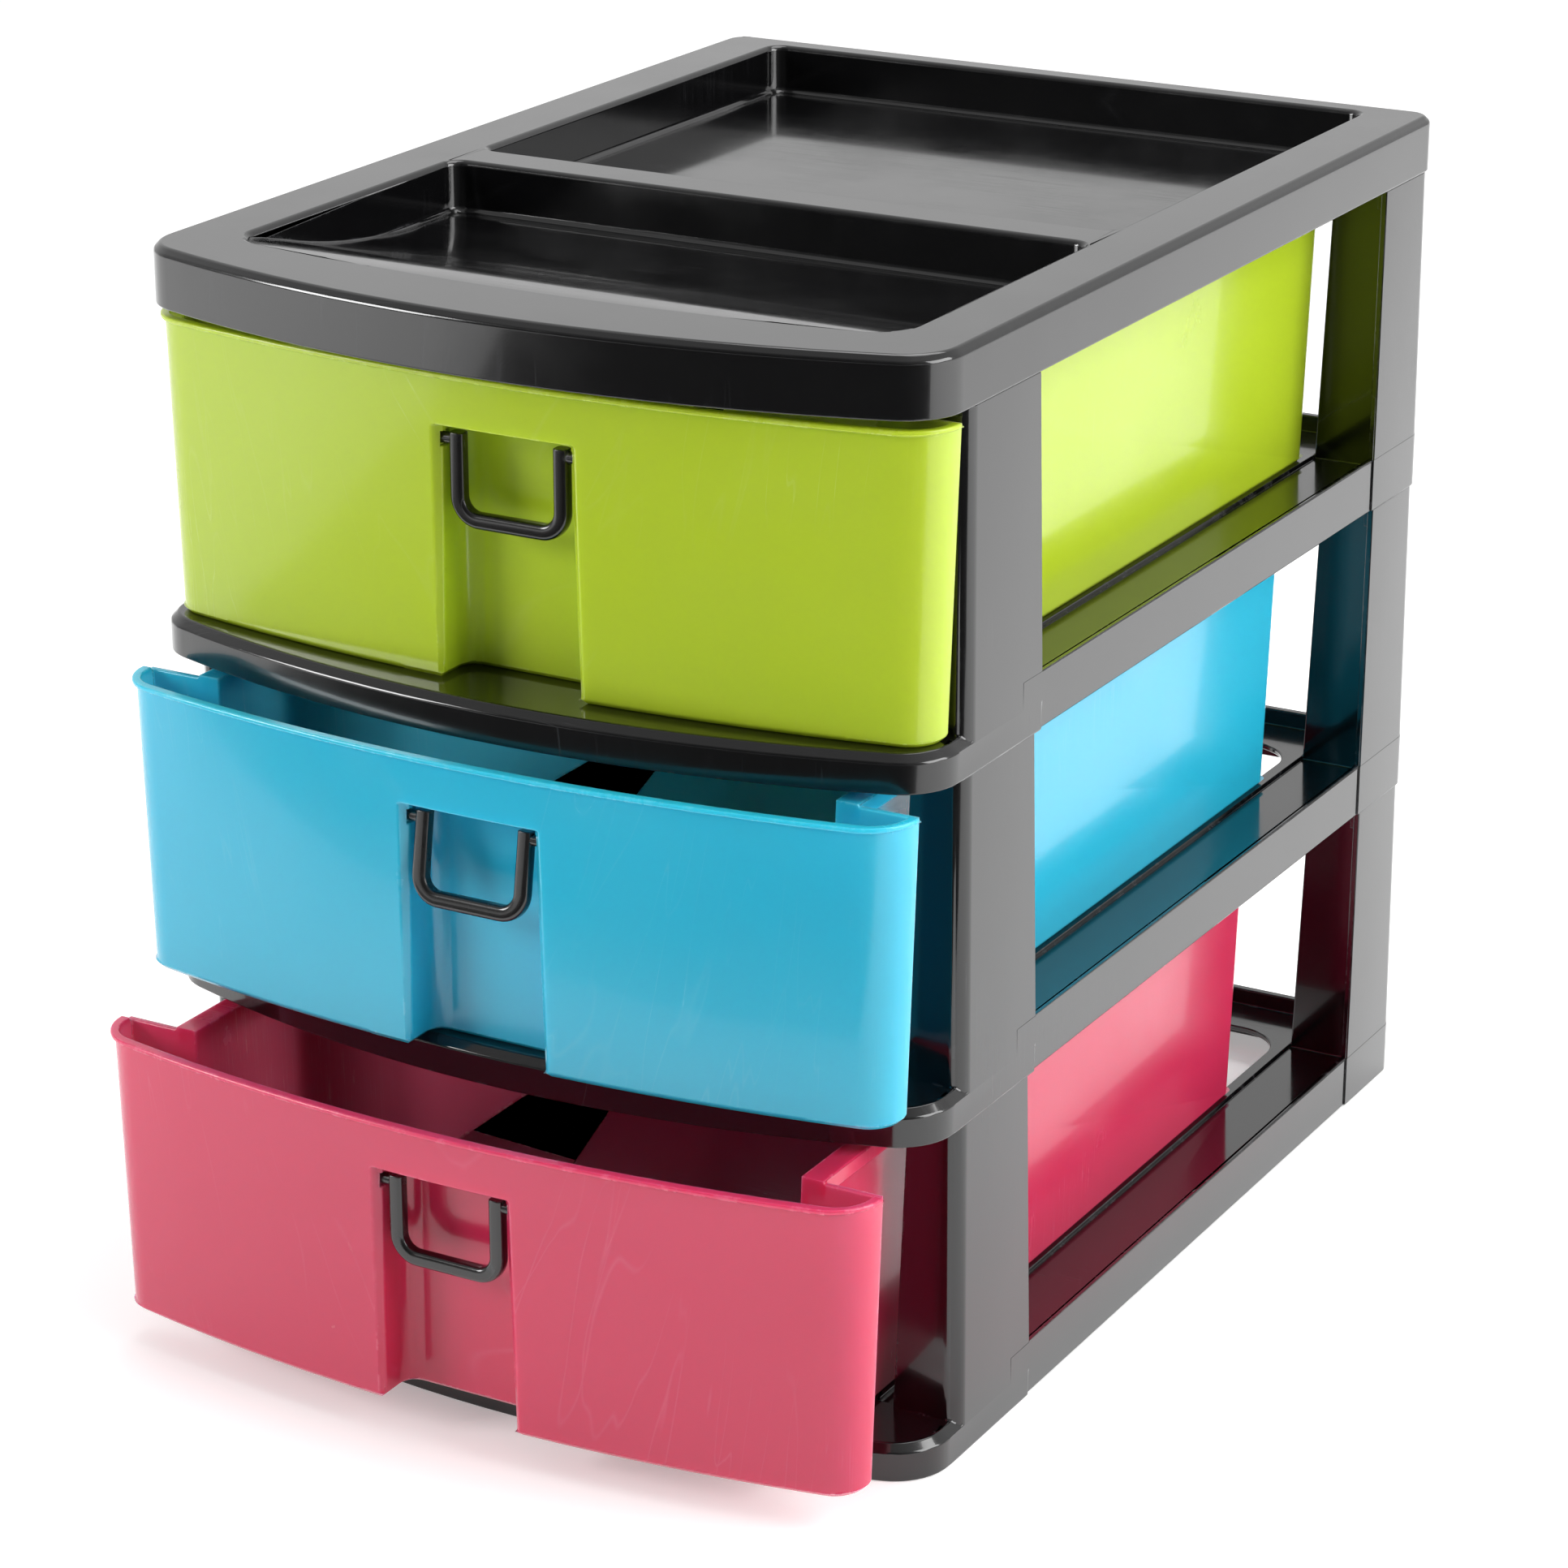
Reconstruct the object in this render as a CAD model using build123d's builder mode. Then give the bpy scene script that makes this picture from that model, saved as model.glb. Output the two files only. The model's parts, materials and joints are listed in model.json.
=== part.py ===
from build123d import *
from math import asin, atan, cos, radians, sin, sqrt, tan
import os

os.makedirs("parts", exist_ok=True)

# ---------------------------------------------------------------- sizes, mm
# Whole tower. X is its width, the bowed front faces -Y and Z is up. The origin
# is the middle of the bounding box, pulled-out drawers included, at the table.
tower_width = 260.0
tower_depth = 367.0
front_bow = 23.0
front_corner_r = 18.0
rear_corner_r = 8.0
tier_count = 3
cover_height = 18.0

# Shelf frame: skirt, drawer plate, rails and four posts in one moulding.
frame_wall = 2.0
plate_top = 11.5
plate_thickness = 2.0
lip_bevel = 2.4
channel_drop = 1.2
rail_height = 17.3
rail_inset = 0.5
runner_width = 4.3
opening_corner_r = 16.0
opening_front_margin = 79.0
opening_rear_margin = 21.0
post_lean = 0.8
edge_lean = 3.2
front_post_setback = 41.0
front_post_length = 46.0
front_post_flange = 20.5
rear_post_length = 41.0
rear_post_return = 13.0
rear_web_setback = 26.0
rear_web_reach = 27.0
post_edge_r = 5.0
tongue_height = 5.0
tongue_root = 7.0
tongue_gap = 0.3
rib_wall = 1.6
rib_count = 5

# Cover: rim with two sunk trays and a cross bar between them.
cover_wall = 2.0
cover_edge_bevel = 1.9
cover_side_rim = 21.5
cover_front_rim = 30.2
cover_rear_rim = 10.5
front_tray_length = 125.2
cover_bar_width = 17.0
tray_floor_bevel = 1.2
tray_rim_bevel = 1.1
tray_corner_r = 5.0
tray_front_corner_r = 12.0
tray_front_bow = 9.8
scoop_lead = 6.0
scoop_run = 109.4
scoop_crest_share = 0.35

# Drawer: bow-fronted tub whose front stands wider than its body.
drawer_wall = 1.8
drawer_height = 90.5
drawer_head_gap = 3.0
drawer_draft = 1.3
drawer_bottom_bevel = 1.6
flange_to_post_gap = 1.8
ear_side_gap = 2.0
ear_to_post_gap = 1.7
face_setback = 10.6
face_bow = 13.5
face_corner_r = 13.2
body_rear_gap = 4.0
body_corner_r = 7.0
rim_lip = 1.6
rim_thickness = 1.5
flange_width = 5.5
flange_drop = 5.0
flange_lip = 1.6
ear_wall_dip = 0.9

# Hand niche in the drawer front.
niche_width = 45.2
niche_depth = 14.6
niche_height = 75.0
niche_front_bevel = 1.5
niche_back_r = 6.0

# Bail handle and its two pins.
handle_side_gap = 3.3
handle_arm = 4.5
handle_bar = 5.6
handle_thickness = 4.6
handle_drop = 25.0
handle_corner_r = 9.0
handle_inner_r = 4.5
handle_bevel = 1.2
handle_top_reach = 2.4
pin_r = 1.7
pin_clearance = 0.35
pin_below_niche_top = 4.5
pin_behind_face = 4.6
pin_end_reach = 0.8

# Drawer positions in the photograph.
middle_pull = 22.0
bottom_pull = 41.0
middle_handle_swing = 9.0

# ---------------------------------------------------------------- derived
tier_pitch = plate_top + drawer_height + drawer_head_gap
half_width = tower_width / 2
reach_past_cover = max(bottom_pull + rim_lip - face_setback, 0.0)
rear_y = (tower_depth + reach_past_cover) / 2
front_tip = rear_y - tower_depth
corner_y = front_tip + front_bow
bow_radius = (half_width**2 + front_bow**2) / (2 * front_bow)
bow_centre_y = front_tip + bow_radius
slope = tan(radians(drawer_draft))
draft_growth = drawer_height * slope

post_base = plate_top - lip_bevel - 0.6
post_front_y = front_tip + front_post_setback
front_post_rear_y = post_front_y + front_post_length
rear_post_front_y = rear_y - rear_post_length
post_rear_y = rear_y - rail_inset
rear_web_y = rear_y - rear_web_setback
rear_web_inner_x = half_width - rear_web_reach
runner_x = rear_web_inner_x
opening_half_x = runner_x - runner_width
opening_front_y = front_tip + opening_front_margin
opening_rear_y = rear_y - opening_rear_margin

flange_outer_x = half_width - front_post_flange + 0.75 * edge_lean - flange_to_post_gap
body_half = flange_outer_x - flange_width - draft_growth
front_half = half_width - ear_side_gap - draft_growth
face_tip = front_tip + face_setback + draft_growth
face_radius = (front_half**2 + face_bow**2) / (2 * face_bow)
ear_back_y = post_front_y - ear_to_post_gap - draft_growth
body_rear_y = rear_web_y - body_rear_gap - draft_growth
niche_back_y = face_tip + niche_depth

pin_z = niche_height - pin_below_niche_top
pin_y = face_tip - pin_z * slope + pin_behind_face
handle_half = niche_width / 2 - handle_side_gap

tray_half_x = half_width - cover_side_rim
front_tray_y = front_tip + cover_front_rim
bar_front_y = front_tray_y + front_tray_length
rear_tray_y = bar_front_y + cover_bar_width
rear_tray_end = rear_y - cover_rear_rim


def footprint(inset):
    """Plan of the tower moved in by the inset: straight sides, bowed front."""
    side = half_width - inset
    front = bow_centre_y - sqrt((bow_radius - inset) ** 2 - side**2)
    back = rear_y - inset
    with BuildSketch() as plan:
        with BuildLine():
            Line((-side, front), (-side, back))
            Line((-side, back), (side, back))
            Line((side, back), (side, front))
            ThreePointArc((side, front), (0, front_tip + inset), (-side, front))
        make_face()
        fillet(plan.vertices().group_by(Axis.Y)[0], front_corner_r - inset)
        fillet(plan.vertices().group_by(Axis.Y)[-1], max(rear_corner_r - inset, 1.0))
    return plan.sketch


# ---------------------------------------------------------------- shelf frame
def front_post_section():
    """L section of the right front post."""
    inner = half_width - front_post_flange
    wall_x = half_width - frame_wall
    wall_y = post_front_y + frame_wall
    with BuildSketch(Plane.XY.offset(post_base)) as section:
        with BuildLine():
            Polyline(
                (inner, post_front_y),
                (half_width, post_front_y),
                (half_width, front_post_rear_y),
                (wall_x, front_post_rear_y),
                (wall_x, wall_y),
                (inner, wall_y),
                close=True,
            )
        make_face()
    return section.sketch


def rear_post_section():
    """Right rear post: side wall, return behind it and web in front."""
    wall_x = half_width - frame_wall
    wall_y = post_rear_y - frame_wall
    return_x = half_width - rear_post_return
    with BuildSketch(Plane.XY.offset(post_base)) as section:
        with BuildLine():
            Polyline(
                (half_width, rear_post_front_y),
                (half_width, post_rear_y),
                (return_x, post_rear_y),
                (return_x, wall_y),
                (wall_x, wall_y),
                (wall_x, rear_web_y + frame_wall),
                (rear_web_inner_x, rear_web_y + frame_wall),
                (rear_web_inner_x, rear_web_y),
                (wall_x, rear_web_y),
                (wall_x, rear_post_front_y),
                close=True,
            )
        make_face()
    return section.sketch


def sliver(edge, side, tall_plane):
    """Thin wedge that leans an upright edge back towards the post's head."""
    with BuildSketch(tall_plane) as wedge:
        with BuildLine():
            Polyline(
                (edge, plate_top),
                (edge + side * edge_lean, tier_pitch + 1),
                (edge - side * 2, tier_pitch + 1),
                (edge - side * 2, plate_top),
                close=True,
            )
        make_face()
    return wedge.sketch


def upright(edge):
    """True for an edge that stands up, whether plumb or slanted."""
    return abs(edge.tangent_at(0.5).Z) > 0.5


with BuildPart() as posts:
    # The right pair of posts, drawn in a little towards the top.
    rise = tier_pitch - post_base
    lean = Vector(-post_lean, 0, rise)
    for section in (front_post_section(), rear_post_section()):
        extrude(section, amount=lean.length, dir=lean.normalized())
    for corner_y, inward, outer_r in (
        (post_front_y, 1, post_edge_r),
        (post_rear_y, -1, rear_corner_r - rail_inset),
    ):
        corner = Vector(half_width, corner_y, post_base)
        inside = corner + Vector(-frame_wall, inward * frame_wall)
        for point, radius in ((inside, outer_r - frame_wall), (corner, outer_r)):
            fillet(posts.edges().filter_by(upright).sort_by_distance(point)[0], radius)
    flange_edge = half_width - front_post_flange
    for edge, side, flat in (
        (flange_edge, 1, Plane.XZ.offset(-post_front_y - frame_wall)),
        (rear_web_inner_x, 1, Plane.XZ.offset(-rear_web_y - frame_wall)),
    ):
        extrude(sliver(edge, side, flat), amount=frame_wall, mode=Mode.SUBTRACT)
    for edge, side in ((front_post_rear_y, -1), (rear_post_front_y, 1)):
        flat = Plane.YZ.offset(half_width - 2 * frame_wall)
        extrude(sliver(edge, side, flat), amount=2 * frame_wall, mode=Mode.SUBTRACT)

    # Tongues on the post heads, which locate the next moulding's skirt.
    tongue_x = half_width - rail_inset - frame_wall - tongue_gap
    tongue_inner_x = tongue_x - frame_wall
    root_x = half_width - post_lean - frame_wall / 2
    tongue_lengths = (
        (post_front_y + post_edge_r + 3, front_post_rear_y - 8),
        (rear_post_front_y + 5, rear_y - rear_corner_r - 3),
    )
    for outer_x, low_z, high_z in (
        (root_x, tier_pitch - tongue_root, tier_pitch),
        (tongue_x, tier_pitch, tier_pitch + tongue_height),
    ):
        with BuildSketch(Plane.XY.offset(low_z)):
            for start, end in tongue_lengths:
                with Locations(((outer_x + tongue_inner_x) / 2, (start + end) / 2)):
                    Rectangle(outer_x - tongue_inner_x, end - start)
        extrude(amount=high_z - low_z)

with BuildPart() as frame:
    # Skirt and plate under the drawer, its upper edge bevelled.
    add(footprint(0))
    extrude(amount=plate_top)
    chamfer(frame.edges().group_by(Axis.Z)[-1], lip_bevel)
    with BuildSketch():
        add(footprint(frame_wall))
    extrude(amount=plate_top - plate_thickness - channel_drop, mode=Mode.SUBTRACT)
    with BuildSketch(Plane.XY.offset(plate_top - plate_thickness - channel_drop)):
        with Locations((0, (front_tip + rear_y) / 2)):
            Rectangle(2 * (runner_x - frame_wall), tower_depth)
        add(footprint(frame_wall + lip_bevel / 2), mode=Mode.INTERSECT)
    extrude(amount=channel_drop, mode=Mode.SUBTRACT)

    # Rails along both sides and the back, up from the skirt.
    rail_start_y = front_post_rear_y - 12
    with BuildSketch():
        add(footprint(0))
        add(footprint(rail_inset + frame_wall), mode=Mode.SUBTRACT)
        with Locations((0, (rail_start_y + rear_y) / 2 + rear_y)):
            Rectangle(2 * tower_width, rear_y - rail_start_y + 2 * rear_y, mode=Mode.INTERSECT)
    extrude(amount=rail_height)
    with BuildSketch():
        for side in (-1, 1):
            with Locations((side * half_width, (front_post_rear_y + rear_post_front_y) / 2)):
                Rectangle(2 * rail_inset, rear_post_front_y - front_post_rear_y)
    extrude(amount=rail_height, mode=Mode.SUBTRACT)

    # Side channels between the runners and the rails.
    channel_y = (post_front_y + frame_wall, rear_web_y)
    channel_x = half_width - rail_inset - frame_wall
    with BuildSketch(Plane.XY.offset(plate_top - channel_drop)):
        for side in (-1, 1):
            with Locations((side * (runner_x + channel_x) / 2, sum(channel_y) / 2)):
                Rectangle(channel_x - runner_x, channel_y[1] - channel_y[0])
    extrude(amount=channel_drop, mode=Mode.SUBTRACT)

    # Large opening through the plate.
    with BuildSketch():
        with Locations((0, (opening_front_y + opening_rear_y) / 2)):
            RectangleRounded(
                2 * opening_half_x, opening_rear_y - opening_front_y, opening_corner_r
            )
    extrude(amount=rail_height, mode=Mode.SUBTRACT)

    # Ribs under the front and rear bands of the plate.
    rib_step = 2 * opening_half_x / (rib_count - 1)
    with BuildSketch(Plane.XY.offset(frame_wall)):
        for number in range(rib_count):
            rib_x = -opening_half_x + rib_step * number
            with Locations((rib_x, (front_tip + opening_front_y) / 2)):
                Rectangle(rib_wall, opening_front_y - front_tip)
            with Locations((rib_x, (rear_y + opening_rear_y) / 2)):
                Rectangle(rib_wall, rear_y - opening_rear_y)
        add(footprint(frame_wall / 2), mode=Mode.INTERSECT)
    extrude(amount=plate_top - plate_thickness - frame_wall)

    # Four posts.
    add(posts.part)
    add(posts.part.mirror(Plane.YZ))


# ---------------------------------------------------------------- cover
def rear_tray(grow):
    """Outline of the rear tray, a rounded rectangle."""
    with BuildSketch() as outline:
        with Locations((0, (rear_tray_y + rear_tray_end) / 2)):
            RectangleRounded(
                2 * (tray_half_x + grow),
                rear_tray_end - rear_tray_y + 2 * grow,
                tray_corner_r + grow,
            )
    return outline.sketch


def front_tray(grow):
    """Outline of the front tray, bowed along its front."""
    side = tray_half_x + grow
    tip = front_tray_y - grow
    with BuildSketch() as outline:
        with BuildLine():
            Line((-side, tip + tray_front_bow), (-side, bar_front_y + grow))
            Line((-side, bar_front_y + grow), (side, bar_front_y + grow))
            Line((side, bar_front_y + grow), (side, tip + tray_front_bow))
            ThreePointArc((side, tip + tray_front_bow), (0, tip), (-side, tip + tray_front_bow))
        make_face()
        fillet(outline.vertices().group_by(Axis.Y)[0], tray_front_corner_r + grow)
        fillet(outline.vertices().group_by(Axis.Y)[-1], tray_corner_r + grow)
    return outline.sketch


def scoop_profile(down):
    """Side view of what lies under the scooped tray floor, sunk by a wall."""
    drop = cover_height - cover_wall
    sweep = 2 * atan(drop / scoop_run)
    crest_r = scoop_crest_share * scoop_run / sin(sweep)
    trough_r = (1 - scoop_crest_share) * scoop_run / sin(sweep)
    start = Vector(front_tray_y - scoop_lead + down, cover_height - down)
    end = Vector(start.X + scoop_run, start.Y - drop)
    turn = start + Vector(crest_r * sin(sweep), crest_r * (cos(sweep) - 1))
    crest = start + Vector(crest_r * sin(sweep / 2), crest_r * (cos(sweep / 2) - 1))
    trough = end + Vector(-trough_r * sin(sweep / 2), trough_r * (1 - cos(sweep / 2)))
    with BuildSketch(Plane.YZ) as profile:
        with BuildLine():
            ThreePointArc(start, crest, turn)
            ThreePointArc(turn, trough, end)
            Polyline(end, (end.X, -1), (front_tip, -1), (front_tip, start.Y), start)
        make_face()
    return profile.sketch


with BuildPart() as scoop:
    # Floor of the front tray, sweeping up to the rim.
    extrude(scoop_profile(0), amount=tray_half_x + tray_rim_bevel, both=True)
    with BuildSketch():
        add(front_tray(tray_rim_bevel))
    extrude(amount=cover_height, mode=Mode.INTERSECT)

with BuildPart() as scoop_space:
    extrude(scoop_profile(cover_wall), amount=tray_half_x + cover_wall, both=True)
    with BuildSketch(Plane.XY.offset(-1)):
        add(footprint(cover_wall))
    extrude(amount=cover_height, mode=Mode.INTERSECT)

with BuildPart() as cover:
    add(footprint(0))
    extrude(amount=cover_height)
    chamfer(cover.edges().group_by(Axis.Z)[-1], cover_edge_bevel)
    # Space inside the rim, leaving a tub around each tray.
    with BuildSketch():
        add(footprint(cover_wall))
        add(front_tray(cover_wall), mode=Mode.SUBTRACT)
        add(rear_tray(cover_wall), mode=Mode.SUBTRACT)
    extrude(amount=cover_height - cover_wall, mode=Mode.SUBTRACT)
    # The trays themselves, bevelled at the rim and round the floor.
    with BuildSketch(Plane.XY.offset(cover_wall)):
        add(front_tray(0))
        add(rear_tray(0))
    extrude(amount=cover_height, mode=Mode.SUBTRACT)
    tray_edges = cover.edges().filter_by(
        lambda e: e.bounding_box().size.Z < 0.01
        and e.bounding_box().max.X < tray_half_x + 0.1
        and e.bounding_box().min.X > -tray_half_x - 0.1
        and e.center().Y > front_tray_y - 0.1
        and e.center().Y < rear_tray_end + 0.1
    )
    rims = tray_edges.filter_by(lambda e: abs(e.center().Z - cover_height) < 0.01)
    floors = tray_edges.filter_by(lambda e: abs(e.center().Z - cover_wall) < 0.01)
    chamfer(rims, tray_rim_bevel)
    chamfer(floors, tray_floor_bevel)
    # Scooped floor in front, hollow underneath.
    add(scoop.part)
    add(scoop_space.part, mode=Mode.SUBTRACT)


# ---------------------------------------------------------------- drawer
def drawer_plan(inset, niche):
    """Plan of the drawer at its bottom: body, ears, bowed front, hand niche."""
    body = body_half - inset
    ear = front_half - inset
    back = body_rear_y - inset
    ear_back = ear_back_y - inset
    radius = face_radius - inset
    centre = face_tip + face_radius
    front = centre - sqrt(radius**2 - ear**2)
    corner_r = min(face_corner_r - inset, 1.1 * (ear_back - front))
    with BuildSketch() as plan:
        with BuildLine():
            Polyline(
                (-ear, front),
                (-ear, ear_back),
                (-body, ear_back),
                (-body, back),
                (body, back),
                (body, ear_back),
                (ear, ear_back),
                (ear, front),
            )
            ThreePointArc((ear, front), (0, face_tip + inset), (-ear, front))
        make_face()
        fillet(plan.vertices().group_by(Axis.Y)[0], corner_r)
        if niche:
            side = niche_width / 2 + inset
            deep = niche_back_y + inset
            mouth = centre - sqrt(radius**2 - side**2)
            with Locations((0, deep - niche_depth)):
                Rectangle(2 * side, 2 * niche_depth, mode=Mode.SUBTRACT)
            if inset < niche_front_bevel:
                for x in (-side, side):
                    corner = plan.vertices().sort_by_distance((x, mouth))[0]
                    chamfer(corner, niche_front_bevel)
    return plan.sketch


def tapered(inset, niche, low, high, angle):
    """Block on the drawer's plan, spreading upward, with its corners rounded."""
    with BuildPart() as block:
        with BuildSketch(Plane.XY.offset(low)):
            add(drawer_plan(inset, niche))
        extrude(amount=high - low)
        sides = block.faces().filter_by(lambda f: abs(f.normal_at().Z) < 0.5)
        draft(sides, Plane.XY, -angle)
        corners = [(body_half, body_rear_y, body_corner_r - inset)]
        if niche:
            corners.append((niche_width / 2, niche_back_y, niche_back_r + inset))
        for x, y, radius in corners:
            for point in ((-x, y, low), (x, y, low)):
                edge = block.edges().filter_by(upright).sort_by_distance(point)[0]
                fillet(edge, radius)
    return block.part


with BuildPart() as drawer:
    # Body, ears and bowed front in one tapered tub, bevelled at the bottom.
    bevel = drawer_bottom_bevel
    add(tapered(bevel * (1 - slope), True, 0, bevel, 45))
    add(tapered(0, True, bevel, niche_height, drawer_draft))
    add(tapered(0, False, niche_height, drawer_height, drawer_draft))
    # Lip round the front and the ears.
    rim_z = drawer_height - rim_thickness
    ear_rear_y = ear_back_y + draft_growth
    body_end_y = body_rear_y + draft_growth
    with BuildSketch(Plane.XY.offset(rim_z)):
        add(drawer_plan(-draft_growth - rim_lip, False))
        with Locations((0, ear_rear_y - drawer_wall - tower_depth / 2)):
            Rectangle(2 * tower_width, tower_depth, mode=Mode.INTERSECT)
    extrude(amount=rim_thickness)
    # Flange along both sides and the back, turned down at the sides.
    flange_y = ear_rear_y - drawer_wall / 2
    flange_corner_r = body_corner_r + flange_width / 2
    with BuildSketch(Plane.XY.offset(rim_z)) as flange:
        with Locations((0, (flange_y + body_end_y + rim_lip) / 2)):
            Rectangle(2 * flange_outer_x, body_end_y + rim_lip - flange_y)
        fillet(flange.vertices().group_by(Axis.Y)[-1], flange_corner_r)
    extrude(amount=rim_thickness)
    lip_end_y = body_end_y + rim_lip - flange_corner_r
    with BuildSketch(Plane.XY.offset(drawer_height - flange_drop)):
        for side in (-1, 1):
            with Locations(
                (side * (flange_outer_x - flange_lip / 2), (flange_y + lip_end_y) / 2)
            ):
                Rectangle(flange_lip, lip_end_y - flange_y)
    extrude(amount=flange_drop - rim_thickness / 2)
    # Low top edge of the ears' rear walls.
    with BuildSketch(Plane.XY.offset(drawer_height - ear_wall_dip)):
        for side in (-1, 1):
            with Locations((side * half_width, ear_rear_y - drawer_wall / 2)):
                Rectangle(2 * (half_width - flange_outer_x), 2 * drawer_wall)
    extrude(amount=2 * ear_wall_dip, mode=Mode.SUBTRACT)
    # Hollow it, leaving the wall round the niche.
    niche_roof = niche_height + drawer_wall
    for niche, low, high in (
        (True, drawer_wall, niche_roof),
        (False, niche_roof, drawer_height + 2),
    ):
        add(tapered(drawer_wall, niche, low, high, drawer_draft), mode=Mode.SUBTRACT)
    # Slots for the handle pins in the niche's side walls.
    with BuildSketch(Plane.YZ):
        with Locations((pin_y, pin_z)):
            Rectangle(2 * (pin_r + pin_clearance), 2 * (pin_r + pin_clearance))
    extrude(amount=niche_width / 2 + 3 * drawer_wall, both=True, mode=Mode.SUBTRACT)

# ---------------------------------------------------------------- handle
with BuildPart() as handle:
    bar_bottom = pin_z - handle_drop
    arm_top = pin_z + handle_top_reach
    gap_bottom = bar_bottom + handle_bar
    with BuildSketch(Plane.XZ.offset(-pin_y)) as bail:
        with Locations((0, (bar_bottom + arm_top) / 2)):
            Rectangle(2 * handle_half, arm_top - bar_bottom)
        fillet(bail.vertices().group_by(Axis.Y)[0], handle_corner_r)
        with Locations((0, gap_bottom + handle_drop)):
            RectangleRounded(
                2 * (handle_half - handle_arm), 2 * handle_drop, handle_inner_r, mode=Mode.SUBTRACT
            )
    extrude(amount=handle_thickness / 2, both=True)
    chamfer(handle.faces().filter_by(Axis.Y).edges(), handle_bevel)
    # Pins turned outward into the niche's side walls.
    pin_end = niche_width / 2 - pin_z * slope + drawer_wall + pin_end_reach
    for side in (-1, 1):
        with BuildSketch(Plane.YZ.offset(side * (handle_half - handle_arm / 2))):
            with Locations((pin_y, pin_z)):
                Circle(pin_r)
        extrude(amount=side * (pin_end - handle_half + handle_arm / 2))

# ---------------------------------------------------------------- assembly
cover_up = Location((0, 0, tier_count * tier_pitch))
with BuildPart() as top_cover:
    add(cover.part.moved(cover_up))
top_cover.part.label = "top_cover"
export_step(top_cover.part, "parts/top_cover.step")

tiers = (
    ("bottom", bottom_pull, 0.0),
    ("middle", middle_pull, middle_handle_swing),
    ("top", 0.0, 0.0),
)
for level, (place, pull, swing) in enumerate(tiers):
    seam_z = level * tier_pitch
    with BuildPart() as shelf:
        add(frame.part.moved(Location((0, 0, seam_z))))
    shelf.part.label = "frame_" + place
    export_step(shelf.part, "parts/frame_" + place + ".step")

    stand = Location((0, -pull, seam_z + plate_top))
    with BuildPart() as tray:
        add(drawer.part.moved(stand))
    tray.part.label = "drawer_" + place
    export_step(tray.part, "parts/drawer_" + place + ".step")

    pivot = Axis((0, pin_y, pin_z), (1, 0, 0))
    with BuildPart() as grip:
        add(handle.part.rotate(pivot, -swing).moved(stand))
    grip.part.label = "handle_" + place
    export_step(grip.part, "parts/handle_" + place + ".step")
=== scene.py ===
# %% [markdown]
# A plastic drawer tower for a desk: three black frames stacked on posts, a cover with
# two sunk trays, and three bow-fronted drawers with small bail handles. The CAD model
# already fixes every size, so this lesson only dresses it: rounded edges, handles swept
# along a path, moulded-plastic finishes, a pale floor and soft studio light.

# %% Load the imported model
import json
import math

import bmesh
import bpy
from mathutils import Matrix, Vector
from mathutils.bvhtree import BVHTree
from mathutils.kdtree import KDTree


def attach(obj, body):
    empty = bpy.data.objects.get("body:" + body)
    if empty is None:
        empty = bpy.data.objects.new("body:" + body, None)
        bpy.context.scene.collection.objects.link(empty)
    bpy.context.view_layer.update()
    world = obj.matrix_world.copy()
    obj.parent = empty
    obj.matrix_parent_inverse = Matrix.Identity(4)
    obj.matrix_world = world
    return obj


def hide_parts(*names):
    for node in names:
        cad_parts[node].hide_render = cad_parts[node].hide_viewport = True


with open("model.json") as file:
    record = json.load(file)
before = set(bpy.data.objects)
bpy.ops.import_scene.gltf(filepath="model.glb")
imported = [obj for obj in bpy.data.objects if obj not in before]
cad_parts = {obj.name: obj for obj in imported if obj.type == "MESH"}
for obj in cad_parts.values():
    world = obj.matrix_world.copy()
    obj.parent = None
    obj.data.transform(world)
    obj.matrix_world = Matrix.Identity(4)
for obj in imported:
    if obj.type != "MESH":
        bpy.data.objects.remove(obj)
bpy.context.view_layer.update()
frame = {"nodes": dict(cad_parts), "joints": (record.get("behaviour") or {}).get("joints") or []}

# %% [markdown]
# The camera comes first, because everything is judged through it. The photograph was
# taken from the front right and a little above with a long lens, which keeps the upright
# lines nearly parallel. A long focal length far away gives the same calm perspective.

# %% Camera
camera_place = Vector((0.6810, -1.2072, 0.6582))
camera_target = Vector((-0.0141, 0.0273, 0.1324))
sensor_width_mm = 36.0
focal_length_mm = 108.35

camera_data = bpy.data.cameras.new("photo_camera")
camera_data.sensor_width = sensor_width_mm
camera_data.lens = focal_length_mm
camera_data.clip_start = 0.05
camera_data.clip_end = 60.0
camera = bpy.data.objects.new("photo_camera", camera_data)
bpy.context.scene.collection.objects.link(camera)
camera.location = camera_place
camera.rotation_mode = "QUATERNION"
camera.rotation_quaternion = (camera_target - camera.location).to_track_quat("-Z", "Y")
bpy.context.scene.camera = camera
print("camera stands", round((camera_target - camera.location).length, 3), "m away")

# %% [markdown]
# A moulded part has no knife-sharp edges: the steel of the mould is rounded, so the
# plastic is too, and those small rounds catch the light. The CAD meshes are loose
# triangles, so each visible piece starts as a copy whose points are merged. A Bevel
# modifier then rounds only the edges that really turn a corner. Doing it as a modifier
# keeps the copy exactly on the CAD shape and lets the width be tuned. A round that is
# too wide for a short edge throws a spike, so any edge beside a spike is left sharp.

# %% Limits of the rounding, with lengths in metres
merge_distance = 2e-6
shortest_edge_in_widths = 0.6
spike_height = 0.0003
spike_search_step = 0.0012
longest_edge_left_sharp = 0.05
spike_passes = 6


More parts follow.
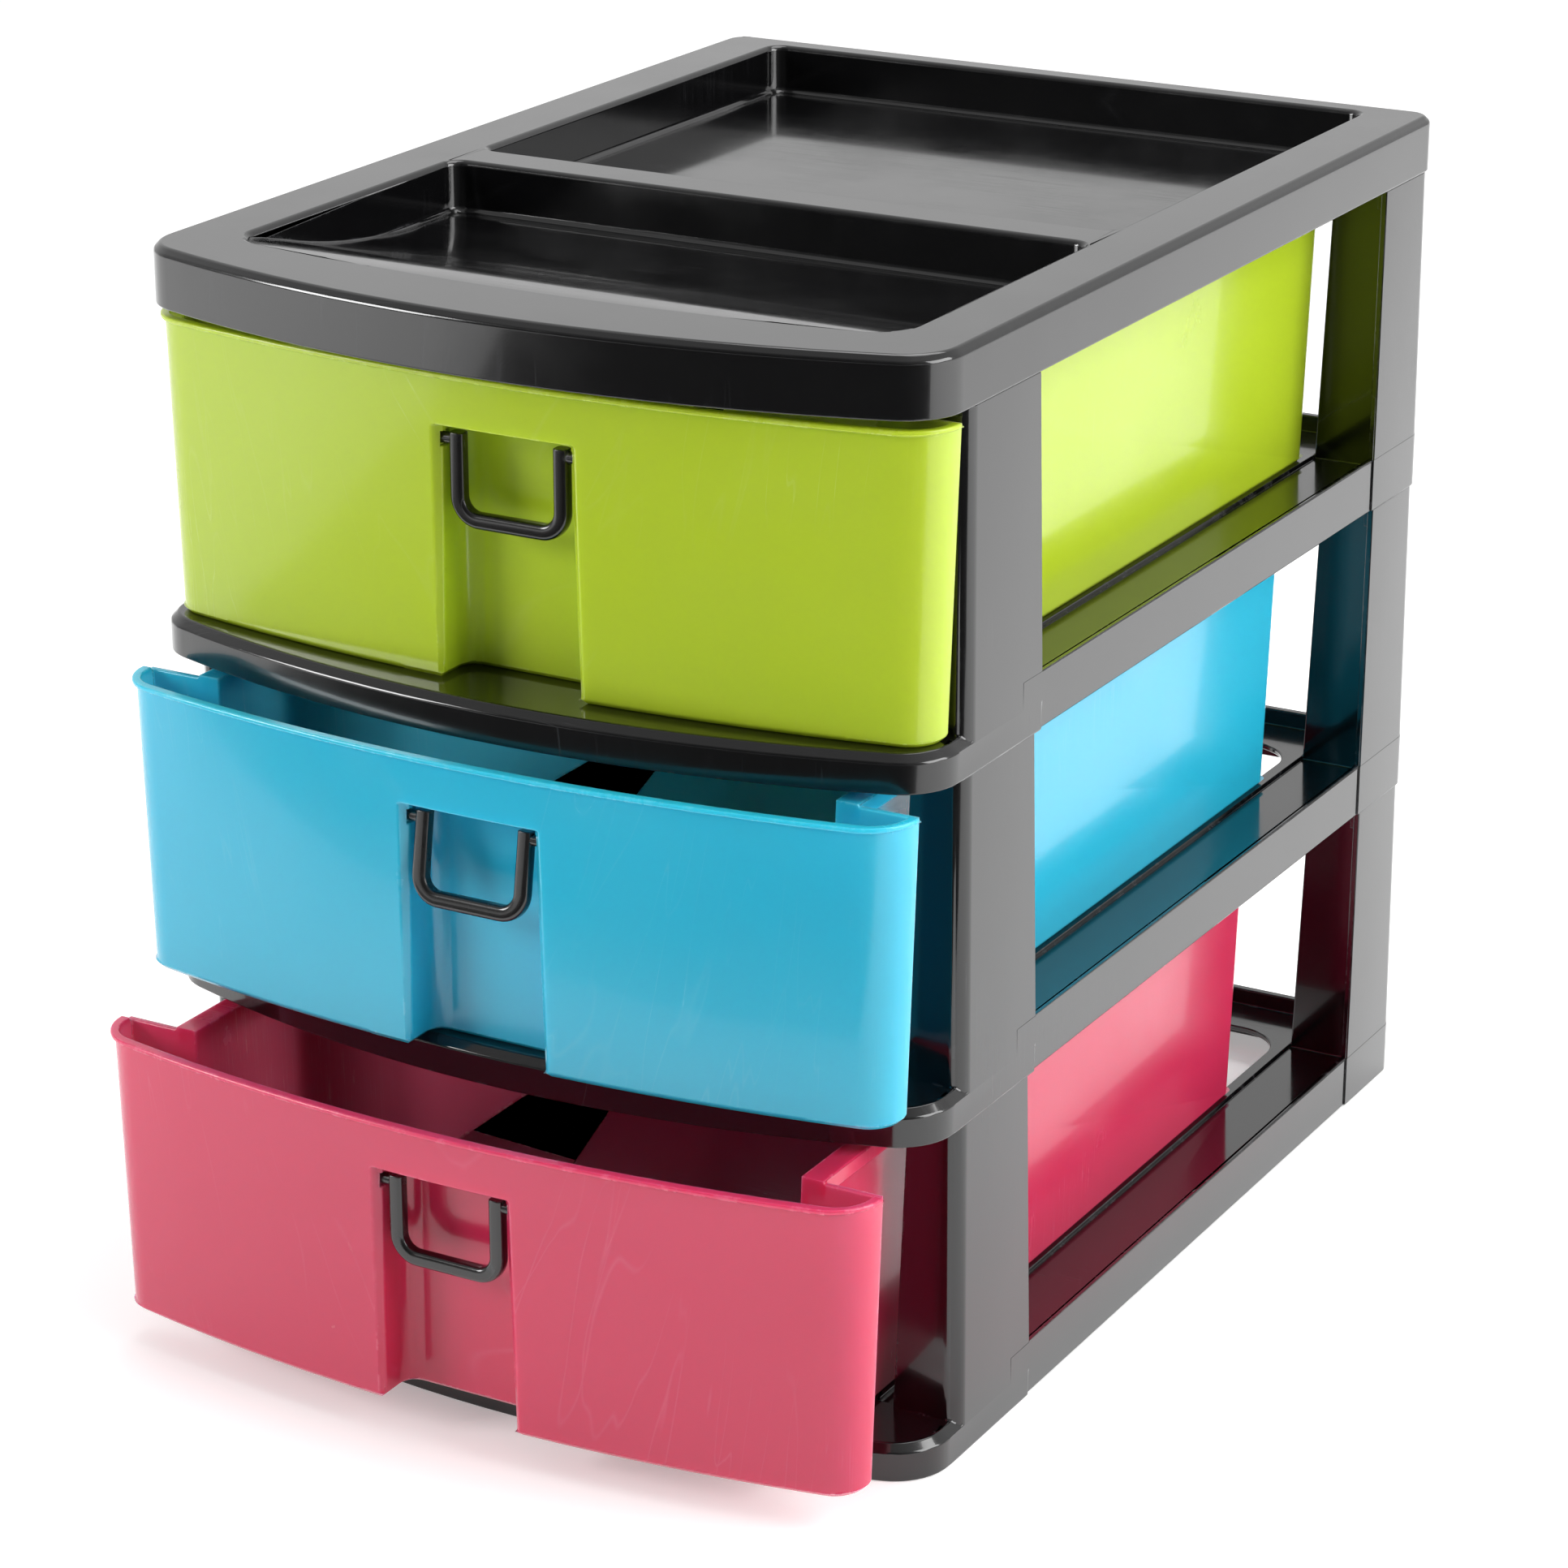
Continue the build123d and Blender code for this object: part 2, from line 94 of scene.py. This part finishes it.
# %% A helper that turns a CAD node into a rounded piece
def tidy_copy(node_name, piece_name):
    """Copy of a CAD node with its points merged and its curves smooth-shaded."""
    source = frame["nodes"][node_name]
    mesh = source.data.copy()
    mesh.name = piece_name
    for extra in ("custom_normal", "sharp_face", "sharp_edge"):
        if extra in mesh.attributes:
            mesh.attributes.remove(mesh.attributes[extra])
    work = bmesh.new()
    work.from_mesh(mesh)
    bmesh.ops.remove_doubles(work, verts=work.verts, dist=merge_distance)
    for face in work.faces:
        face.smooth = True
    work.to_mesh(mesh)
    work.free()
    piece = bpy.data.objects.new(piece_name, mesh)
    bpy.context.scene.collection.objects.link(piece)
    return piece


def round_edges(piece, width, segments=3, corner=24):
    """Rounds edges that turn more than corner degrees, except where that makes a spike."""
    corner_angle = math.radians(corner)
    shortest_edge = shortest_edge_in_widths * width
    work = bmesh.new()
    work.from_mesh(piece.data)
    weight = work.edges.layers.float.new("bevel_weight_edge")
    for edge in work.edges:
        sharp = edge.is_manifold and edge.calc_face_angle(0) > corner_angle
        edge[weight] = 1.0 if sharp and edge.calc_length() > shortest_edge else 0.0
    surface = BVHTree.FromBMesh(work)
    points = KDTree(len(work.verts))
    for vertex in work.verts:
        points.insert(vertex.co, vertex.index)
    points.balance()
    work.verts.ensure_lookup_table()
    bevel = piece.modifiers.new("moulded_rounds", "BEVEL")
    bevel.width = width
    bevel.segments = segments
    bevel.limit_method = "WEIGHT"
    bevel.use_clamp_overlap = False
    bevel.harden_normals = True
    bevel.miter_outer = "MITER_ARC"
    left_sharp = 0
    for attempt in range(spike_passes):
        work.to_mesh(piece.data)
        bpy.context.view_layer.update()
        seen = piece.evaluated_get(bpy.context.evaluated_depsgraph_get())
        rounded = seen.to_mesh()
        spikes = [
            v.co.copy() for v in rounded.vertices
            if surface.find_nearest(v.co)[3] > spike_height
        ]
        seen.to_mesh_clear()
        if not spikes:
            break
        for spike in spikes:
            root = surface.find_nearest(spike)[0]
            for _, index, _ in points.find_range(root, spike_search_step * (attempt + 1)):
                for edge in work.verts[index].link_edges:
                    if edge[weight] > 0 and edge.calc_length() < longest_edge_left_sharp:
                        left_sharp += 1
                        edge[weight] = 0.0
    for edge in work.edges:
        edge.smooth = edge[weight] > 0 or edge.calc_face_angle(0) < corner_angle
    work.to_mesh(piece.data)
    work.free()
    print(piece.name, "keeps", left_sharp, "short edges sharp,", len(spikes), "spikes left")


def dress(node_name, piece_name, body, width, finish):
    """Adds a rounded piece that stands for a CAD node and rides on its body."""
    piece = tidy_copy(node_name, piece_name)
    round_edges(piece, width)
    piece.data.materials.clear()
    piece.data.materials.append(finish)
    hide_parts(node_name)
    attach(piece, body)
    print(piece_name, "has", len(piece.data.polygons), "faces before rounding")


# %% [markdown]
# Injection-moulded plastic looks plain from afar, but three small things make it real.
# The gloss is uneven, because hands and dust dull it in patches. Fine straight scratches
# cross it at two angles. And the edges are rubbed a little paler where things knock
# them. All three come from noise on Object coordinates, so they stay put in every view.


# %% Helpers for building shader nodes
def add_node(tree, kind, **values):
    """New node, with input values given by socket name and properties by attribute."""
    made = tree.nodes.new(kind)
    for name, value in values.items():
        label = name.replace("_", " ")
        if label in made.inputs:
            made.inputs[label].default_value = value
        else:
            setattr(made, name, value)
    return made


def srgb(red, green, blue):
    """A colour read off on the 0 to 255 scale, as the linear colour of a shader."""
    def straight(level):
        share = level / 255
        return share / 12.92 if share <= 0.04045 else ((share + 0.055) / 1.055) ** 2.4
    return (straight(red), straight(green), straight(blue), 1.0)


# %% One fine scratch pattern
def scratch_layer(tree, place, turn, length_scale, fineness, edge):
    """Thin straight lines: noise stretched along one way and cut to a narrow band."""
    half_band = 0.006
    links = tree.links
    turned = add_node(tree, "ShaderNodeMapping")
    turned.inputs["Rotation"].default_value = turn
    turned.inputs["Scale"].default_value = (length_scale, fineness, length_scale)
    links.new(place, turned.inputs["Vector"])
    streak = add_node(tree, "ShaderNodeTexNoise", Scale=1.0, Detail=2.0, Roughness=0.5)
    streak.inputs["Distortion"].default_value = 0.25
    links.new(turned.outputs["Vector"], streak.inputs["Vector"])
    band = add_node(tree, "ShaderNodeValToRGB")
    ramp = band.color_ramp
    ramp.elements[0].position = edge - half_band
    ramp.elements[0].color = (0, 0, 0, 1)
    ramp.elements[1].position = edge
    ramp.elements[1].color = (1, 1, 1, 1)
    after = ramp.elements.new(edge + half_band)
    after.color = (0, 0, 0, 1)
    links.new(streak.outputs["Fac"], band.inputs["Fac"])
    return band.outputs["Color"]


# %% The moulded plastic finish
def moulded_plastic(name, colour, worn_colour, gloss, scratch_share, glow=0.0, coat=0.0):
    """Plastic with patchy gloss, fine scratches, faint shrink waves and rubbed edges."""
    finish = bpy.data.materials.new(name)
    finish.use_nodes = True
    tree = finish.node_tree
    links = tree.links
    shader = tree.nodes["Principled BSDF"]
    shader.inputs["IOR"].default_value = 1.5
    shader.inputs["Specular IOR Level"].default_value = 0.5
    shader.inputs["Subsurface Weight"].default_value = glow
    shader.inputs["Subsurface Radius"].default_value = (1.0, 1.0, 1.0)
    shader.inputs["Subsurface Scale"].default_value = 0.010
    shader.inputs["Coat Weight"].default_value = coat
    shader.inputs["Coat Roughness"].default_value = 0.06
    place = add_node(tree, "ShaderNodeTexCoord").outputs["Object"]

    # Scratches at two angles, kept to patches by a broad noise.
    first = scratch_layer(tree, place, (0.3, 0.2, 0.5), 5.0, 420.0, 0.52)
    second = scratch_layer(tree, place, (1.1, 0.5, 1.9), 7.0, 520.0, 0.50)
    both = add_node(tree, "ShaderNodeMath", operation="MAXIMUM")
    links.new(first, both.inputs[0])
    links.new(second, both.inputs[1])
    patch = add_node(tree, "ShaderNodeTexNoise", Scale=14.0, Detail=3.0, Roughness=0.6)
    links.new(place, patch.inputs["Vector"])
    kept = add_node(tree, "ShaderNodeMapRange")
    kept.inputs["From Min"].default_value = 0.48
    kept.inputs["From Max"].default_value = 0.66
    kept.inputs["To Min"].default_value = 0.0
    kept.inputs["To Max"].default_value = scratch_share
    links.new(patch.outputs["Fac"], kept.inputs["Value"])
    scratches = add_node(tree, "ShaderNodeMath", operation="MULTIPLY")
    links.new(both.outputs["Value"], scratches.inputs[0])
    links.new(kept.outputs["Result"], scratches.inputs[1])

    # Rubbed edges: where the rounded normal leaves the face's own normal.
    softened = add_node(tree, "ShaderNodeBevel", samples=4)
    softened.inputs["Radius"].default_value = 0.0011
    own = add_node(tree, "ShaderNodeNewGeometry")
    alike = add_node(tree, "ShaderNodeVectorMath", operation="DOT_PRODUCT")
    links.new(softened.outputs["Normal"], alike.inputs[0])
    links.new(own.outputs["Normal"], alike.inputs[1])
    edge = add_node(tree, "ShaderNodeMapRange")
    edge.inputs["From Min"].default_value = 0.995
    edge.inputs["From Max"].default_value = 0.90
    links.new(alike.outputs["Value"], edge.inputs["Value"])
    chips = add_node(tree, "ShaderNodeTexNoise", Scale=160.0, Detail=4.0, Roughness=0.7)
    links.new(place, chips.inputs["Vector"])
    chipped = add_node(tree, "ShaderNodeMapRange")
    chipped.inputs["From Min"].default_value = 0.50
    chipped.inputs["From Max"].default_value = 0.62
    chipped.inputs["To Max"].default_value = 0.55
    links.new(chips.outputs["Fac"], chipped.inputs["Value"])
    rubbed = add_node(tree, "ShaderNodeMath", operation="MULTIPLY")
    links.new(edge.outputs["Result"], rubbed.inputs[0])
    links.new(chipped.outputs["Result"], rubbed.inputs[1])

    # Colour: a broad faint unevenness, then scratches and rubbed edges a shade paler.
    flow = add_node(tree, "ShaderNodeTexNoise", Scale=9.0, Detail=2.0, Roughness=0.5)
    links.new(place, flow.inputs["Vector"])
    flow_range = add_node(tree, "ShaderNodeMapRange")
    flow_range.inputs["To Min"].default_value = 0.93
    flow_range.inputs["To Max"].default_value = 1.05
    links.new(flow.outputs["Fac"], flow_range.inputs["Value"])
    plain = add_node(tree, "ShaderNodeMix", data_type="RGBA", blend_type="MULTIPLY")
    plain.inputs[0].default_value = 1.0
    plain.inputs[6].default_value = colour
    links.new(flow_range.outputs["Result"], plain.inputs[7])
    worn = add_node(tree, "ShaderNodeMath", operation="MAXIMUM")
    links.new(scratches.outputs["Value"], worn.inputs[0])
    links.new(rubbed.outputs["Value"], worn.inputs[1])
    shaded = add_node(tree, "ShaderNodeMix", data_type="RGBA")
    links.new(worn.outputs["Value"], shaded.inputs[0])
    links.new(plain.outputs[2], shaded.inputs[6])
    shaded.inputs[7].default_value = worn_colour
    links.new(shaded.outputs[2], shader.inputs["Base Color"])

    # Gloss: smudges and a fine grain raise the roughness, and scratches dull it most.
    smudge = add_node(tree, "ShaderNodeTexNoise", Scale=22.0, Detail=5.0, Roughness=0.62)
    links.new(place, smudge.inputs["Vector"])
    smudged = add_node(tree, "ShaderNodeMapRange")
    smudged.inputs["From Min"].default_value = 0.35
    smudged.inputs["From Max"].default_value = 0.75
    smudged.inputs["To Min"].default_value = gloss
    smudged.inputs["To Max"].default_value = gloss + 0.13
    links.new(smudge.outputs["Fac"], smudged.inputs["Value"])
    dulled = add_node(tree, "ShaderNodeMath", operation="MULTIPLY_ADD")
    links.new(worn.outputs["Value"], dulled.inputs[0])
    dulled.inputs[1].default_value = 0.35
    links.new(smudged.outputs["Result"], dulled.inputs[2])
    links.new(dulled.outputs["Value"], shader.inputs["Roughness"])

    # Relief: slow shrink waves, a very fine skin, and the scratches cut in.
    waves = add_node(tree, "ShaderNodeTexNoise", Scale=18.0, Detail=1.0, Roughness=0.4)
    links.new(place, waves.inputs["Vector"])
    skin = add_node(tree, "ShaderNodeTexNoise", Scale=1500.0, Detail=2.0, Roughness=0.5)
    links.new(place, skin.inputs["Vector"])
    slow = add_node(tree, "ShaderNodeBump", Strength=0.10, Distance=0.002)
    links.new(waves.outputs["Fac"], slow.inputs["Height"])
    fine = add_node(tree, "ShaderNodeBump", Strength=0.05, Distance=0.0001)
    links.new(skin.outputs["Fac"], fine.inputs["Height"])
    links.new(slow.outputs["Normal"], fine.inputs["Normal"])
    cut = add_node(tree, "ShaderNodeBump", Strength=0.25, Distance=0.0001, invert=True)
    links.new(scratches.outputs["Value"], cut.inputs["Height"])
    links.new(fine.outputs["Normal"], cut.inputs["Normal"])
    links.new(cut.outputs["Normal"], shader.inputs["Normal"])
    print(name, "made with", len(tree.nodes), "nodes")
    return finish


# %% [markdown]
# Five finishes are enough. The frames and the cover share one black, which is glossy
# enough to mirror the white room in its sides, and the handles a slightly duller one.
# The three drawers differ only in pigment. Their walls are thin and let a little light
# through, so the sides look lighter than the fronts; subsurface scattering does that.

# %% Finishes
black_plastic = moulded_plastic(
    "black_frame_plastic", srgb(9, 9, 10), srgb(70, 70, 74),
    gloss=0.10, scratch_share=0.35, coat=0.6,
)
handle_plastic = moulded_plastic(
    "black_handle_plastic", srgb(12, 11, 11), srgb(90, 90, 92),
    gloss=0.20, scratch_share=0.3, coat=0.5,
)
drawer_look = {"gloss": 0.16, "scratch_share": 0.16, "glow": 0.6, "coat": 0.3}
green_plastic = moulded_plastic(
    "green_drawer_plastic", srgb(184, 214, 44), srgb(212, 234, 120), **drawer_look
)
blue_plastic = moulded_plastic(
    "blue_drawer_plastic", srgb(42, 186, 230), srgb(120, 214, 242), **drawer_look
)
pink_plastic = moulded_plastic(
    "pink_drawer_plastic", srgb(216, 48, 88), srgb(238, 130, 160), **drawer_look
)

# %% [markdown]
# The frames and the cover never move against each other: posts stand in the channels of
# the moulding above. They all ride on the tower. Their rounds are small, because the
# walls are only two millimetres thick.

# %% Frames and cover
wall_round = 0.00055
cover_round = 0.0007
for level in ("bottom", "middle", "top"):
    dress("frame_" + level, "shelf_frame_" + level, "tower", wall_round, black_plastic)
dress("top_cover", "tray_cover", "tower", cover_round, black_plastic)

# %% [markdown]
# Each drawer is one bow-fronted tub with a niche for the fingertips. It rides on its own
# body, so it slides out of the tower in the other poses.

# %% Drawers
for level, finish in (
    ("bottom", pink_plastic),
    ("middle", blue_plastic),
    ("top", green_plastic),
):
    dress("drawer_" + level, "drawer_tub_" + level, level + "_drawer", wall_round, finish)

# %% [markdown]
# The handle is a bail: a flat bar bent into a U, with both ends turned out into the
# drawer. A shape like that is one cross-section swept along one path, so Geometry Nodes
# make it. Four points give the U, Fillet Curve rounds its two corners, and Curve to Mesh
# sweeps a rounded rectangle along it. The named inputs are its real sizes.


# %% Geometry Nodes tree of the bail
def bail_tree():
    """Node tree that sweeps a rounded bar along a U with two round corners."""
    tree = bpy.data.node_groups.new("bail_handle", "GeometryNodeTree")
    for name, value in (
        ("Half Span", 0.017),
        ("Drop", 0.024),
        ("Corner Radius", 0.0067),
        ("Bar Width", 0.0045),
        ("Bar Thickness", 0.0046),
        ("Edge Round", 0.0015),
    ):
        socket = tree.interface.new_socket(name, in_out="INPUT", socket_type="NodeSocketFloat")
        socket.default_value = value
    tree.interface.new_socket("Finish", in_out="INPUT", socket_type="NodeSocketMaterial")
    tree.interface.new_socket("Geometry", in_out="OUTPUT", socket_type="NodeSocketGeometry")
    links = tree.links
    given = tree.nodes.new("NodeGroupInput")
    result = tree.nodes.new("NodeGroupOutput")

    def maths(operation, first, second):
        sum_node = tree.nodes.new("ShaderNodeMath")
        sum_node.operation = operation
        for place, value in enumerate((first, second)):
            if isinstance(value, (int, float)):
                sum_node.inputs[place].default_value = value
            else:
                links.new(value, sum_node.inputs[place])
        return sum_node.outputs[0]

    line = tree.nodes.new("GeometryNodeCurvePrimitiveLine")
    four = tree.nodes.new("GeometryNodeResampleCurve")
    four.inputs["Count"].default_value = 4
    links.new(line.outputs["Curve"], four.inputs["Curve"])
    index = tree.nodes.new("GeometryNodeInputIndex").outputs["Index"]
    right = maths("GREATER_THAN", index, 1.5)
    down = maths("SUBTRACT", maths("GREATER_THAN", index, 0.5), maths("GREATER_THAN", index, 2.5))
    side = maths("SUBTRACT", maths("MULTIPLY", right, 2.0), 1.0)
    across = maths("MULTIPLY", side, given.outputs["Half Span"])
    depth = maths("MULTIPLY", maths("MULTIPLY", down, given.outputs["Drop"]), -1.0)
    place = tree.nodes.new("ShaderNodeCombineXYZ")
    links.new(across, place.inputs["X"])
    links.new(depth, place.inputs["Z"])
    bent = tree.nodes.new("GeometryNodeSetPosition")
    links.new(four.outputs["Curve"], bent.inputs["Geometry"])
    links.new(place.outputs["Vector"], bent.inputs["Position"])
    rounded = tree.nodes.new("GeometryNodeFilletCurve")
    rounded.mode = "POLY"
    rounded.inputs["Count"].default_value = 10
    links.new(bent.outputs["Geometry"], rounded.inputs["Curve"])
    links.new(given.outputs["Corner Radius"], rounded.inputs["Radius"])
    section = tree.nodes.new("GeometryNodeCurvePrimitiveQuadrilateral")
    links.new(given.outputs["Bar Width"], section.inputs["Width"])
    links.new(given.outputs["Bar Thickness"], section.inputs["Height"])
    soft_section = tree.nodes.new("GeometryNodeFilletCurve")
    soft_section.mode = "POLY"
    soft_section.inputs["Count"].default_value = 5
    links.new(section.outputs["Curve"], soft_section.inputs["Curve"])
    links.new(given.outputs["Edge Round"], soft_section.inputs["Radius"])
    sweep = tree.nodes.new("GeometryNodeCurveToMesh")
    sweep.inputs["Fill Caps"].default_value = True
    links.new(rounded.outputs["Curve"], sweep.inputs["Curve"])
    links.new(soft_section.outputs["Curve"], sweep.inputs["Profile Curve"])
    real = tree.nodes.new("GeometryNodeRealizeInstances")
    links.new(sweep.outputs["Mesh"], real.inputs["Geometry"])
    coloured = tree.nodes.new("GeometryNodeSetMaterial")
    links.new(real.outputs["Geometry"], coloured.inputs["Geometry"])
    links.new(given.outputs["Finish"], coloured.inputs["Material"])
    links.new(coloured.outputs["Geometry"], result.inputs["Geometry"])
    return tree


handle_tree = bail_tree()
print("bail tree has", len(handle_tree.nodes), "nodes")


# %% A helper that bakes a tree into a plain mesh
def bake_tree(tree, name, sizes):
    """Runs a node tree once with the given inputs and keeps its mesh."""
    holder = bpy.data.objects.new(name + "_source", bpy.data.meshes.new(name + "_source"))
    bpy.context.scene.collection.objects.link(holder)
    nodes = holder.modifiers.new("make", "NODES")
    nodes.node_group = tree
    for item in tree.interface.items_tree:
        if item.item_type == "SOCKET" and item.in_out == "INPUT" and item.name in sizes:
            nodes[item.identifier] = sizes[item.name]
    bpy.context.view_layer.update()
    seen = holder.evaluated_get(bpy.context.evaluated_depsgraph_get())
    mesh = bpy.data.meshes.new_from_object(seen)
    mesh.name = name
    bpy.data.objects.remove(holder)
    return mesh


# %% [markdown]
# A pin sticks out of each arm and turns in a slot of the niche wall. The swept bar and
# its two pins are one moulding, so they are joined in one mesh. Each handle is placed at
# its own pin line, which the frame gives as the line of its hinge. The middle one hangs
# a little forward, as in the photograph.

# %% Handle sizes, in metres
pin_radius = 0.0017
pin_reach = 0.0236
bail_sizes = {
    "Half Span": 0.01695,
    "Drop": 0.0250,
    "Corner Radius": 0.0066,
    "Bar Width": 0.0047,
    "Bar Thickness": 0.0044,
    "Edge Round": 0.0015,
    "Finish": handle_plastic,
}
arm_rise = 0.0023
pin_sides = 28
handle_round = 0.0004
middle_handle_swing = 9.0
hinge_places = {
    joint["child"]: joint["pos_m"] for joint in frame["joints"] if joint["type"] == "hinge"
}


# %% Handles
def make_handle(level, forward_degrees):
    """One bail with its two pins, turned about the line of its hinge."""
    _, pin_y, pin_z = hinge_places[level + "_handle"]
    mesh = bake_tree(handle_tree, "bail_handle_" + level, bail_sizes)
    work = bmesh.new()
    work.from_mesh(mesh)
    for vertex in work.verts:
        vertex.co.z += arm_rise
    bmesh.ops.remove_doubles(work, verts=work.verts, dist=1e-6)
    bmesh.ops.recalc_face_normals(work, faces=work.faces)
    for side in (-1, 1):
        made = bmesh.ops.create_cone(
            work, cap_ends=True, segments=pin_sides, radius1=pin_radius, radius2=pin_radius,
            depth=pin_reach - bail_sizes["Half Span"],
        )
        for vertex in made["verts"]:
            along = vertex.co.z + (pin_reach + bail_sizes["Half Span"]) / 2
            vertex.co = Vector((side * along, vertex.co.y, side * vertex.co.x))
    swing = math.radians(-forward_degrees)
    for vertex in work.verts:
        y, z = vertex.co.y, vertex.co.z
        vertex.co.y = y * math.cos(swing) - z * math.sin(swing) + pin_y
        vertex.co.z = y * math.sin(swing) + z * math.cos(swing) + pin_z
    for face in work.faces:
        face.smooth = True
    work.to_mesh(mesh)
    work.free()
    handle = bpy.data.objects.new("bail_handle_" + level, mesh)
    bpy.context.scene.collection.objects.link(handle)
    round_edges(handle, handle_round, segments=2, corner=50)
    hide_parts("handle_" + level)
    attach(handle, level + "_handle")
    print(handle.name, "has", len(mesh.polygons), "faces")


make_handle("bottom", 0.0)
make_handle("middle", middle_handle_swing)
make_handle("top", 0.0)

# %% [markdown]
# The tower stands on a plain white sweep. The floor is near white, and only for camera
# and mirror rays does it add the last bit of white, so the background stays clean while
# the soft shadow under the drawers is kept.

# %% Floor
floor_reach = 9
floor_grey = 0.86
floor_lift = 0.34

floor_mesh = bpy.data.meshes.new("studio_floor")
floor_mesh.from_pydata(
    [(x * floor_reach, y * floor_reach, 0) for x, y in ((-1, -1), (1, -1), (1, 1), (-1, 1))],
    [], [(0, 1, 2, 3)],
)
floor = bpy.data.objects.new("studio_floor", floor_mesh)
bpy.context.scene.collection.objects.link(floor)
floor_white = bpy.data.materials.new("floor_white")
floor_white.use_nodes = True
floor_tree = floor_white.node_tree
floor_shader = floor_tree.nodes["Principled BSDF"]
floor_shader.inputs["Base Color"].default_value = (floor_grey, floor_grey, floor_grey, 1.0)
floor_shader.inputs["Roughness"].default_value = 0.9
floor_shader.inputs["Specular IOR Level"].default_value = 0.1
paths = floor_tree.nodes.new("ShaderNodeLightPath")
seen_or_mirrored = add_node(floor_tree, "ShaderNodeMath", operation="MAXIMUM")
floor_tree.links.new(paths.outputs["Is Camera Ray"], seen_or_mirrored.inputs[0])
floor_tree.links.new(paths.outputs["Is Glossy Ray"], seen_or_mirrored.inputs[1])
lift = add_node(floor_tree, "ShaderNodeMath", operation="MULTIPLY")
floor_tree.links.new(seen_or_mirrored.outputs["Value"], lift.inputs[0])
lift.inputs[1].default_value = floor_lift
floor_tree.links.new(lift.outputs["Value"], floor_shader.inputs["Emission Strength"])
floor_shader.inputs["Emission Color"].default_value = (1, 1, 1, 1)
floor.data.materials.append(floor_white)
print("floor laid at z = 0")

# %% [markdown]
# A dark sheet lies on the floor in front of the glossy black tower, outside the picture,
# as a photographer's dark card would. The black front mirrors it and stays black: a painted
# dark reflection standing in for the shaded floor and darker room in front. Only mirror
# rays see this one, so it neither shows nor shades anything.

# %% Dark card for reflections
card_left, card_right = -0.62, 1.5
card_front, card_back = -3, -0.46
card_height = 0.002
# painted dark reflection: the grey the black fronts mirror in place of the shaded floor
card_grey = 0.03

card_mesh = bpy.data.meshes.new("dark_card")
card_mesh.from_pydata(
    [
        (card_left, card_front, card_height),
        (card_right, card_front, card_height),
        (card_right, card_back, card_height),
        (card_left, card_back, card_height),
    ],
    [], [(0, 1, 2, 3)],
)
card = bpy.data.objects.new("dark_card", card_mesh)
bpy.context.scene.collection.objects.link(card)
card_black = bpy.data.materials.new("card_black")
card_black.use_nodes = True
card_shader = card_black.node_tree.nodes["Principled BSDF"]
card_shader.inputs["Base Color"].default_value = (card_grey, card_grey, card_grey, 1.0)
card_shader.inputs["Roughness"].default_value = 1.0
card.data.materials.append(card_black)
card.visible_camera = False
card.visible_diffuse = False
card.visible_shadow = False
card.visible_transmission = False

# %% [markdown]
# Soft studio light: the room itself is bright above, behind and to the right, and darker
# where the photographer stands, which is why the black front stays black while the black
# sides mirror grey. Three broad area lamps, left, right and overhead, shape the forms.

# %% Room light
dark_side_level = 0.10
bright_side_level = 0.75
world = bpy.data.worlds.new("studio_room")
bpy.context.scene.world = world
world.use_nodes = True
room = world.node_tree
background = room.nodes["Background"]
direction = add_node(room, "ShaderNodeTexCoord")
split = add_node(room, "ShaderNodeSeparateXYZ")
room.links.new(direction.outputs["Generated"], split.inputs["Vector"])
frontness = add_node(room, "ShaderNodeMapRange")
frontness.inputs["From Min"].default_value = -0.85
frontness.inputs["From Max"].default_value = 0.10
frontness.inputs["To Min"].default_value = dark_side_level
frontness.inputs["To Max"].default_value = bright_side_level
room.links.new(split.outputs["Y"], frontness.inputs["Value"])
room_paths = add_node(room, "ShaderNodeLightPath")
room_level = add_node(room, "ShaderNodeMix", data_type="FLOAT")
room.links.new(room_paths.outputs["Is Camera Ray"], room_level.inputs[0])
room.links.new(frontness.outputs["Result"], room_level.inputs[2])
room_level.inputs[3].default_value = 1.0
background.inputs["Color"].default_value = (1, 1, 1, 1)
room.links.new(room_level.outputs[0], background.inputs["Strength"])


# %% Area lamps
def soft_lamp(name, place, aim, size, power):
    """Adds a square area lamp aimed at a point."""
    lamp_data = bpy.data.lights.new(name, "AREA")
    lamp_data.size = size
    lamp_data.energy = power
    lamp = bpy.data.objects.new(name, lamp_data)
    bpy.context.scene.collection.objects.link(lamp)
    lamp.location = place
    lamp.rotation_mode = "QUATERNION"
    lamp.rotation_quaternion = (Vector(aim) - Vector(place)).to_track_quat("-Z", "Y")


middle = (0.0, 0.0, 0.16)
soft_lamp("left_front_softbox", (-1.6, -1.5, 1.0), middle, size=0.8, power=27.0)
soft_lamp("right_softbox", (1.9, 0.1, 1.1), middle, size=1.5, power=40.0)
soft_lamp("overhead_softbox", (0.1, 0.5, 2.1), middle, size=1.4, power=17.0)
bpy.context.scene.view_settings.view_transform = "Standard"
